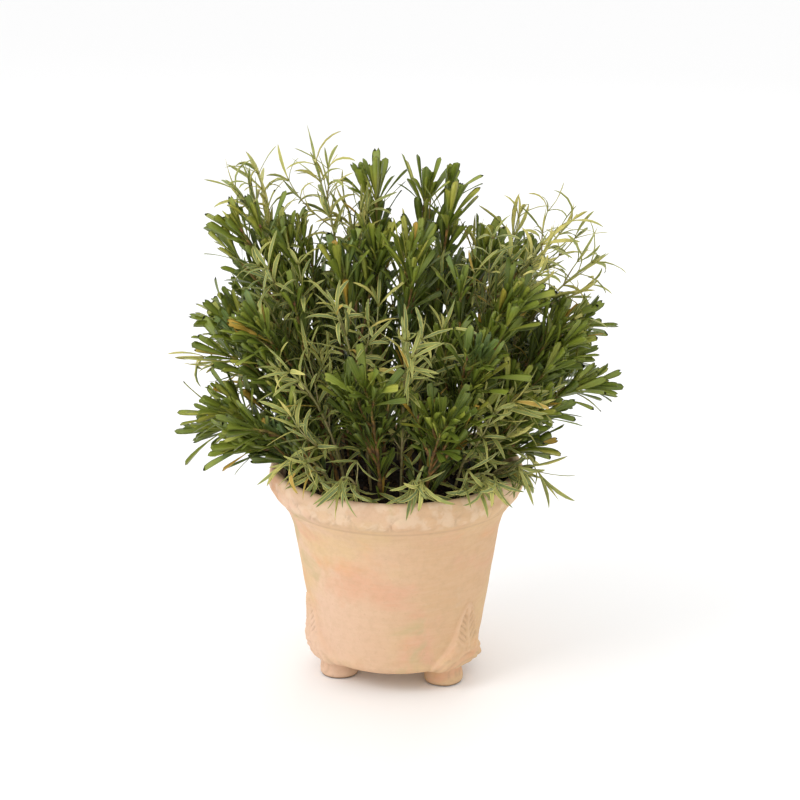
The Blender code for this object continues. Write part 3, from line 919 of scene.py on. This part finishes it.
BROAD_GREENS = (
    (0.00, (0.030, 0.044, 0.008)), (0.26, (0.070, 0.100, 0.013)), (0.52, (0.135, 0.185, 0.021)),
    (0.76, (0.245, 0.300, 0.036)), (0.96, (0.440, 0.430, 0.070)),
)
NARROW_GREENS = (
    (0.00, (0.055, 0.080, 0.026)), (0.30, (0.100, 0.140, 0.046)), (0.55, (0.175, 0.225, 0.068)),
    (0.78, (0.310, 0.345, 0.090)), (0.98, (0.640, 0.570, 0.160)),
)
broad_leaf = make_leaf("broad_leaf", BROAD_GREENS, (0.24, 0.26, 0.04), (0.20, 0.22, 0.03),
                       (0.27, 0.26, 0.04), 0.45, 0.30, 0.34, 0.10, 0.34)
narrow_leaf = make_leaf("narrow_leaf", NARROW_GREENS, (0.40, 0.42, 0.14), (0.80, 0.72, 0.20),
                        (0.42, 0.40, 0.10), 0.35, 0.85, 0.24, 0.20, 0.46)


# %% Mix bark and bud
def make_bark(name, old, young, green):
    """Bark that goes from old wood at the foot to green at the tip, by the stem's own age."""
    bark = Finish(name, old)
    bark.paint(bark.patches(210.0, 0.35, 0.66), young)
    bark.paint(bark.soft(bark.attribute("rise"), 0.45, 1.0), green, 0.75)
    bark.paint(bark.attribute("knot"), (0.075, 0.038, 0.018), 0.7)
    fibre = bark.noise(1100.0, 4.0, coords=bark.stretched((1.0, 1.0, 0.25)))
    return bark.done(0.62, None, (fibre, 0.6, 0.0004))


def make_bud():
    """Bud scales: dull pink over brown."""
    scales = Finish("bud_scales", (0.16, 0.075, 0.035))
    scales.paint(scales.attribute("tone"), (0.46, 0.20, 0.12))
    scales.paint(scales.patches(700.0, 0.4, 0.7), (0.30, 0.13, 0.06))
    return scales.done(0.55)


broad_bark = make_bark("broad_bark", (0.15, 0.085, 0.035), (0.42, 0.22, 0.06), (0.34, 0.29, 0.06))
narrow_bark = make_bark("narrow_bark", (0.26, 0.20, 0.09), (0.38, 0.34, 0.13), (0.36, 0.38, 0.13))
bud_scales = make_bud()

# %% [markdown]
# ## A tree that leafs out a twig
# The stems and twigs come in as a mesh of edges. Each point on it says how thick the wood is, how
# far up its twig it lies, and whether leaves grow there. The node tree gives the wood its round
# skin, walks along every twig at an even spacing, and at each node sets one or more leaves around
# it by the golden angle, which is how real shoots keep their leaves out of each other's shade.

# %% Build the leafing tree
GOLDEN_ANGLE = math.radians(137.5)
RIM_CLEAR = 0.004
LEAF_REACH = 0.034
OVER_POT_FROM = 0.055
RIM_REACH = RIM_RADIUS + 0.003


class Leafing(Pattern):
    """A pattern with a few formulas of its own."""

    def between(self, low, high, salt):
        """A random number for each leaf; salt keeps the different draws apart."""
        return self.random(self["Seed"] + float(salt), s2=low, s3=high)

    def vector(self, operation, first, second=None, scale=None):
        """A Vector Math node."""
        inputs = {0: first, 1: second, "Scale": scale}
        inputs = {name: value for name, value in inputs.items() if value is not None}
        return self.out("ShaderNodeVectorMath", inputs, operation=operation)

    def weigh(self, first, share, second, other_share):
        """first times share plus second times other_share."""
        return self.vector("ADD", self.vector("SCALE", first, scale=share),
                           self.vector("SCALE", second, scale=other_share))

    def over_the_rim(self, aim):
        """Lift the aim of leaves that grow over the pot, so that they clear its rim."""
        aim_x, aim_y, aim_z = self.split(self.vector("NORMALIZE", aim))
        x, y, z = self.split(self.geo("InputPosition"))
        away = from_pot_axis(x, y)
        over_pot = away.math("GREATER_THAN", OVER_POT_FROM) * away.math("LESS_THAN", RIM_REACH)
        climb = (z * -1.0 + (POT_HEIGHT + RIM_CLEAR)) / LEAF_REACH
        lowest = over_pot * (climb.math("MINIMUM", 0.9) + 1.0) - 1.0
        return self.combine(aim_x, aim_y, aim_z.math("MAXIMUM", lowest))

    def tone_and_finish(self, copies, salt, material):
        """Give every copy a tone of its own, and its material."""
        toned = self.store(copies, "tone", self.between(0.0, 1.0, salt), domain="INSTANCE")
        return self.finish(toned, material)


def leafing_tree():
    """The node tree that turns a twig skeleton into wood, leaves and buds."""
    g = Leafing(
        "leaf_out", ("Leaves", "Collection", None), ("Leaf shapes", "Int", 5),
        ("Node spacing", "Float", 0.004), ("Leaves at a node", "Int", 1), ("Leaf size", "Float", 1.0),
        ("Young size", "Float", 0.6), ("Flush share", "Float", 0.3), ("Spread low", "Float", 0.9),
        ("Spread tip", "Float", 0.4), ("Scatter", "Float", 0.15), ("Droop", "Float", 0.0),
        ("Bud", "Collection", None), ("Bud size", "Float", 0.003), ("Bud share", "Float", 0.5),
        ("Seed", "Int", 1), ("Bark finish", "Material", None), ("Leaf finish", "Material", None),
        ("Bud finish", "Material", None))
    season, leafy = g.read("season"), g.read("leafy")

    # The wood: round, and swollen where a flush of growth began.
    twigs = g.geo("MeshToCurve", {0: g["Geometry"]})
    twigs = g.geo("ResampleCurve", {"Curve": twigs, "Length": 0.003}, mode="LENGTH")
    off_knot = (season.math("FRACT") - g["Flush share"]).math("ABSOLUTE")
    twigs = g.store(twigs, "knot", g.ramp(off_knot, 0.13, 0.0) * leafy)
    wood = g.geo("CurveToMesh", {
        "Curve": twigs, "Profile Curve": g.geo("CurvePrimitiveCircle", {"Resolution": 6, "Radius": 1.0}),
        "Scale": g.read("thickness") * (g.read("knot") * 0.55 + 1.0), "Fill Caps": True})
    wood = g.geo("SetShadeSmooth", {0: wood, "Shade Smooth": True})
    wood = g.geo("SetMaterial", {0: wood, "Material": g["Bark finish"]})

    # The places: evenly along the twig, kept only in the leafy share of each flush.
    walk = g.add("GeometryNodeCurveToPoints", {"Curve": twigs, "Length": g["Node spacing"]}, mode="LENGTH")
    points = g.store(Wire(g, walk["Points"]), "order", g.geo("InputIndex"))
    points = g.store(points, "way", Wire(g, walk["Tangent"]), "FLOAT_VECTOR")
    points = g.store(points, "side", Wire(g, walk["Normal"]), "FLOAT_VECTOR")
    full = g["Flush share"] * (season.math("LESS_THAN", 1.0) * 0.2 + 1.0)
    phase = season.math("FRACT") / full
    kept = phase.math("LESS_THAN", 1.0) * leafy
    bare = g.out("FunctionNodeCompare", {0: kept, 1: 0.5}, operation="LESS_THAN")
    points = g.store(points, "phase", phase)
    points = g.geo("DeleteGeometry", {0: points, "Selection": bare}, domain="POINT")
    copies = g.add("GeometryNodeDuplicateElements", {
        "Geometry": points, "Amount": g["Leaves at a node"]}, domain="POINT")

    # The aim: round the twig by the golden angle, out by the spread, down by the droop.
    way, side = g.read("way", "FLOAT_VECTOR"), g.read("side", "FLOAT_VECTOR")
    around = Wire(g, copies["Duplicate Index"]) / g["Leaves at a node"] * math.tau
    roll = g.read("order") * GOLDEN_ANGLE + around + g.between(-0.5, 0.5, 1)
    cross = g.vector("CROSS_PRODUCT", way, side)
    outward = g.weigh(side, roll.math("COSINE"), cross, roll.math("SINE"))
    phase = g.read("phase")
    spread = phase * (g["Spread low"] - g["Spread tip"]) + g["Spread tip"]
    spread = spread + g.between(-1.0, 1.0, 2) * g["Scatter"]
    ahead, aside = spread.math("COSINE"), spread.math("SINE")
    pull = g["Droop"] * g.between(-0.4, -1.6, 3)
    aim = g.vector("ADD", g.weigh(way, ahead, outward, aside), g.combine(0.0, 0.0, pull))
    facing = g.out("FunctionNodeAxesToRotation", {
        "Primary Axis": g.over_the_rim(aim), "Secondary Axis": g.weigh(way, aside, outward, ahead * -1.0)},
        primary_axis="Z", secondary_axis="Y")

    size = g["Leaf size"] * g.between(0.72, 1.12, 4) * g.read("vigour")
    size = size * g.ramp(phase, 0.0, 0.4, g["Young size"], 1.0)
    leaves = g.geo("InstanceOnPoints", {
        "Points": Wire(g, copies[0]), "Instance": g.shapes("Leaves"), "Pick Instance": True,
        "Instance Index": g.random(g["Seed"], 2, "INT", s4=0, s5=g["Leaf shapes"] - 1.0),
        "Rotation": facing, "Scale": size})
    leaves = g.tone_and_finish(leaves, 6, "Leaf finish")

    tips = g.geo("CurveEndpointSelection", {"Start Size": 0, "End Size": 1})
    lucky = g.out("FunctionNodeRandomValue", {"Probability": g["Bud share"], "Seed": g["Seed"]}, 3,
                  data_type="BOOLEAN")
    bud_turn = g.out("FunctionNodeAlignRotationToVector", {"Vector": g.geo("InputTangent")}, axis="Z")
    chosen = g.out("FunctionNodeBooleanMath", {0: tips, 1: lucky}, operation="AND")
    tip_buds = g.geo("InstanceOnPoints", {
        "Points": twigs, "Selection": chosen,
        "Instance": g.geo("CollectionInfo", {"Collection": g["Bud"]}), "Rotation": bud_turn,
        "Scale": g["Bud size"]})
    return g.done(g.join(g.tone_and_finish(tip_buds, 7, "Bud finish"), leaves, wood))


leaf_out = leafing_tree()
print(f"the leafing tree has {len(leaf_out.nodes)} nodes")

# %% [markdown]
# ## Where the stems run
# The planting plan is the CAD's own: for each shoot its kind, the turn it leans to, how far it
# leans, and how far its tip is from the middle of the soil. Each stem leaves the soil steeply and
# bends out, so the shoots fan apart and never cross. Here every stem also gets its side twigs.

# %% The planting plan
PLAN = (
    ("broad", -90, 4, 254), ("broad", 110, 6, 248), ("broad", 80, 11, 240), ("broad", 96, 20, 212),
    ("broad", -38, 8, 208), ("broad", 10, 14, 212), ("broad", -48, 18, 205), ("broad", -85, 24, 226),
    ("broad", -150, 20, 190),
    ("narrow", -98, 14, 284), ("narrow", -125, 12, 236), ("narrow", -93, 28, 288),
    ("narrow", -72, 31, 232), ("narrow", 70, 26, 222), ("narrow", 92, 33, 272),
    ("narrow", 74, 30, 250), ("narrow", -28, 30, 206), ("narrow", 130, 30, 216),
    ("narrow", 178, 26, 206),
    ("broad", -84, 31, 256), ("broad", 56, 32, 204), ("broad", 118, 36, 212),
    ("broad", -112, 38, 200), ("broad", -145, 40, 184), ("broad", 152, 42, 196),
    ("narrow", 4, 37, 198), ("narrow", 86, 40, 256), ("broad", 32, 42, 182),
    ("broad", -12, 46, 164), ("narrow", -42, 46, 180), ("broad", -60, 40, 200),
    ("broad", -92, 46, 196), ("broad", -74, 50, 192), ("broad", 92, 48, 206),
    ("broad", 72, 48, 196), ("narrow", -168, 50, 156),
    ("narrow", 44, 54, 172), ("broad", 20, 55, 150), ("broad", 84, 61, 184),
    ("broad", 58, 60, 164), ("narrow", -96, 58, 198), ("broad", -80, 66, 166),
    ("broad", -58, 64, 158), ("broad", 104, 58, 184), ("broad", 132, 60, 176),
    ("broad", 162, 62, 142), ("broad", -132, 62, 174), ("broad", -160, 66, 136),
    ("broad", -88, 73, 158), ("broad", -68, 71, 148), ("broad", 80, 73, 118),
    ("narrow", -42, 68, 138), ("narrow", -22, 72, 126), ("narrow", 10, 72, 122),
    ("narrow", 40, 74, 130), ("narrow", 64, 79, 136), ("narrow", 178, 70, 132),
)
ROOT_DEPTH = 0.024
ROOT_MARGIN = 0.014
INNER_RADIUS = SOIL_RADIUS + 0.0003
SHARED_INPUTS = {"Leaf shapes": 5, "Bud": buds, "Bud finish": bud_scales}
HABITS = {
    "broad": {
        "thick": 0.0017, "thin": 0.0011, "twig_wood": 0.0010, "twigs": (3, 3, 3, 4), "fork": 27.0,
        "flush": 0.033, "bare": 0.14, "low_twigs": 2, "thinned": 0,
        "inputs": {
            "Leaves": broad_leaves, "Node spacing": 0.0013, "Leaves at a node": 1,
            "Leaf size": 0.97, "Young size": 0.6, "Flush share": 0.38, "Spread low": 0.66,
            "Spread tip": 0.12, "Scatter": 0.12, "Droop": 0.02, "Bud size": 0.0030,
            "Bud share": 0.35, "Bark finish": broad_bark, "Leaf finish": broad_leaf,
        },
    },
    "narrow": {
        "thick": 0.0013, "thin": 0.0008, "twig_wood": 0.0006, "twigs": (3, 4, 4, 5), "fork": 36.0,
        "flush": 0.30, "bare": 0.25, "low_twigs": 0, "thinned": 2,
        "inputs": {
            "Leaves": narrow_leaves, "Node spacing": 0.0155, "Leaves at a node": 4,
            "Leaf size": 1.08, "Young size": 0.95, "Flush share": 1.0, "Spread low": 1.20,
            "Spread tip": 0.42, "Scatter": 0.26, "Droop": 0.25, "Bud size": 0.0014,
            "Bud share": 0.2, "Bark finish": narrow_bark, "Leaf finish": narrow_leaf,
        },
    },
}


# %% Follow a stem and fork its twigs
# Leans in degrees from upright: how far the slim middle goes, where low twigs grow, and from where
# the side twigs are thinned and the leaves hang.
MIDDLE_LEAN = 12
LOW_TWIG_LEANS = (28, 61)
THINNED_LEAN = 60
HANGING_LEAN = 50.0
WIDEST_GAP = 0.038
LONGEST_TWIG = 0.080
RIM_INSIDE = 0.088
TWIG_CLEAR = 0.005


def bezier(root, bend, tip, t):
    """Point on a quadratic curve."""
    return root * (1 - t) ** 2 + bend * 2 * t * (1 - t) + tip * t * t


def stem_ends(turn, lean, reach_mm):
    """Root, first direction, bend and tip of a stem, as the CAD lays it."""
    out = math.sin(math.radians(lean)) ** 0.85
    root = on_axis((INNER_RADIUS - ROOT_MARGIN) * out, turn, SOIL_LEVEL + 0.004)
    reach = reach_mm / 1000.0
    tip = on_axis(reach * math.sin(math.radians(lean)), turn,
                  SOIL_LEVEL + reach * math.cos(math.radians(lean)))
    first = math.radians(lean * 0.3)
    way = on_axis(math.sin(first), turn, math.cos(first))
    return root, way, root + way * (tip - root).length * 0.62, tip


class Skeleton:
    """Points and edges of a shoot's stem and twigs, with what the leafing tree needs to know.

    season counts the flushes of growth back from a twig's tip: 0 at the tip, 1 one flush below."""

    KEYS = ("thickness", "rise", "leafy", "vigour", "season")

    def __init__(self):
        self.points, self.edges = [], []
        self.values = {key: [] for key in self.KEYS}

    def lay(self, path, thick, thin, bare, vigour, flush):
        """Add one twig along a path; leaves grow past the bare share of it."""
        start = len(self.points)
        steps = [0.0]
        for before, after in zip(path, path[1:]):
            steps.append(steps[-1] + (after - before).length)
        for index, point in enumerate(path):
            t = steps[index] / steps[-1]
            row = (thick + (thin - thick) * t, max(0.0, (t - bare) / (1.0 - bare)),
                   1.0 if t >= bare else 0.0, vigour, (steps[-1] - steps[index]) / flush)
            self.points.append(point)
            for key, value in zip(self.KEYS, row):
                self.values[key].append(value)
            if index:
                self.edges.append((start + index - 1, start + index))

    def build(self, name):
        """A mesh of edges that carries the attributes."""
        data = bpy.data.meshes.new(name)
        data.from_pydata([tuple(point) for point in self.points], self.edges, [])
        for key in self.KEYS:
            layer = data.attributes.new(key, "FLOAT", "POINT")
            layer.data.foreach_set("value", self.values[key])
        return show(data, name)


def over_rim(point):
    """The point itself, or lifted over the pot's rim where it would run into it."""
    if RIM_INSIDE < math.hypot(point.x, point.y) < RIM_REACH:
        return Vector((point.x, point.y, max(point.z, POT_HEIGHT + TWIG_CLEAR)))
    return point


def fork_twigs(skeleton, habit, draw, lean, root, bend, tip):
    """Side twigs that leave the stem one or more flushes below its tip, and turn up beside it."""
    length = (tip - root).length
    count = draw.choice(habit["twigs"]) if lean > MIDDLE_LEAN else draw.choice((1, 2))
    gap = min(habit["flush"], WIDEST_GAP)
    if lean > THINNED_LEAN:
        count -= habit["thinned"]
    low = habit["low_twigs"] if LOW_TWIG_LEANS[0] < lean < LOW_TWIG_LEANS[1] else 0
    for index in range(count + low):
        below = gap * (1.0 + 0.75 * index) * draw.uniform(0.85, 1.2)
        if index >= count:
            below = length * draw.uniform(0.50, 0.74)
        t = max(0.22, 1.0 - below / length)
        start = bezier(root, bend, tip, t)
        way = (bezier(root, bend, tip, t + 0.02) - start).normalized()
        side = way.cross(Vector((0.3, 0.9, 0.31))).normalized()
        roll = index * GOLDEN_ANGLE + draw.uniform(0.0, 6.28)
        outward = side * math.cos(roll) + way.cross(side) * math.sin(roll)
        fork = math.radians(habit["fork"] * draw.uniform(0.75, 1.25))
        first = way * math.cos(fork) + outward * math.sin(fork)
        reach = min(length * (1.0 - t) * draw.uniform(0.65, 0.95), LONGEST_TWIG)
        knee = start + first * reach * 0.6
        later = (first * 0.35 + way * 0.65 + Vector((0.0, 0.0, 0.12))).normalized()
        end = knee + later * reach * 0.45
        path = [bezier(start, knee, end, step / 7) for step in range(8)]
        path = path[:1] + [over_rim(point) for point in path[1:]]
        skeleton.lay(path, habit["twig_wood"] * 1.25, habit["twig_wood"] * 0.8, 0.10,
                     draw.uniform(0.8, 0.95), habit["flush"] * draw.uniform(0.8, 1.0))


# %% [markdown]
# ## Grow the shoots
# Every shoot gets the same node tree, with its own kind's inputs and its own seed. The result is
# turned into a plain mesh, takes the place of the CAD shoot of the same name, and rides on the
# plant's one body.

# %% Grow every shoot of the plan
def grow(number, kind, turn, lean, reach_mm):
    """One shoot, from skeleton to finished mesh."""
    habit = HABITS[kind]
    node = f"{kind}_shoot_{number:02d}"
    draw = random.Random(number * 71)
    root, way, bend, tip = stem_ends(turn, lean, reach_mm)
    skeleton = Skeleton()
    steps = 16
    path = [root - way * ROOT_DEPTH]
    path += [bezier(root, bend, tip, step / steps) for step in range(steps + 1)]
    skeleton.lay(path, habit["thick"], habit["thin"], habit["bare"], 1.0, habit["flush"])
    fork_twigs(skeleton, habit, draw, lean, root, bend, tip)
    shoot = skeleton.build("grown_" + node)
    settings = {**SHARED_INPUTS, **habit["inputs"], "Seed": number * 13}
    settings["Droop"] *= 1.0 + max(0.0, lean - HANGING_LEAN) / 8.0
    shoot = run_tree(shoot, leaf_out, settings)
    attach(shoot, "root")
    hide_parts(node)
    return shoot


total_faces = 0
for number, row in enumerate(PLAN, start=1):
    total_faces += len(grow(number, *row).data.polygons)
print(f"{len(PLAN)} shoots with {total_faces} faces")
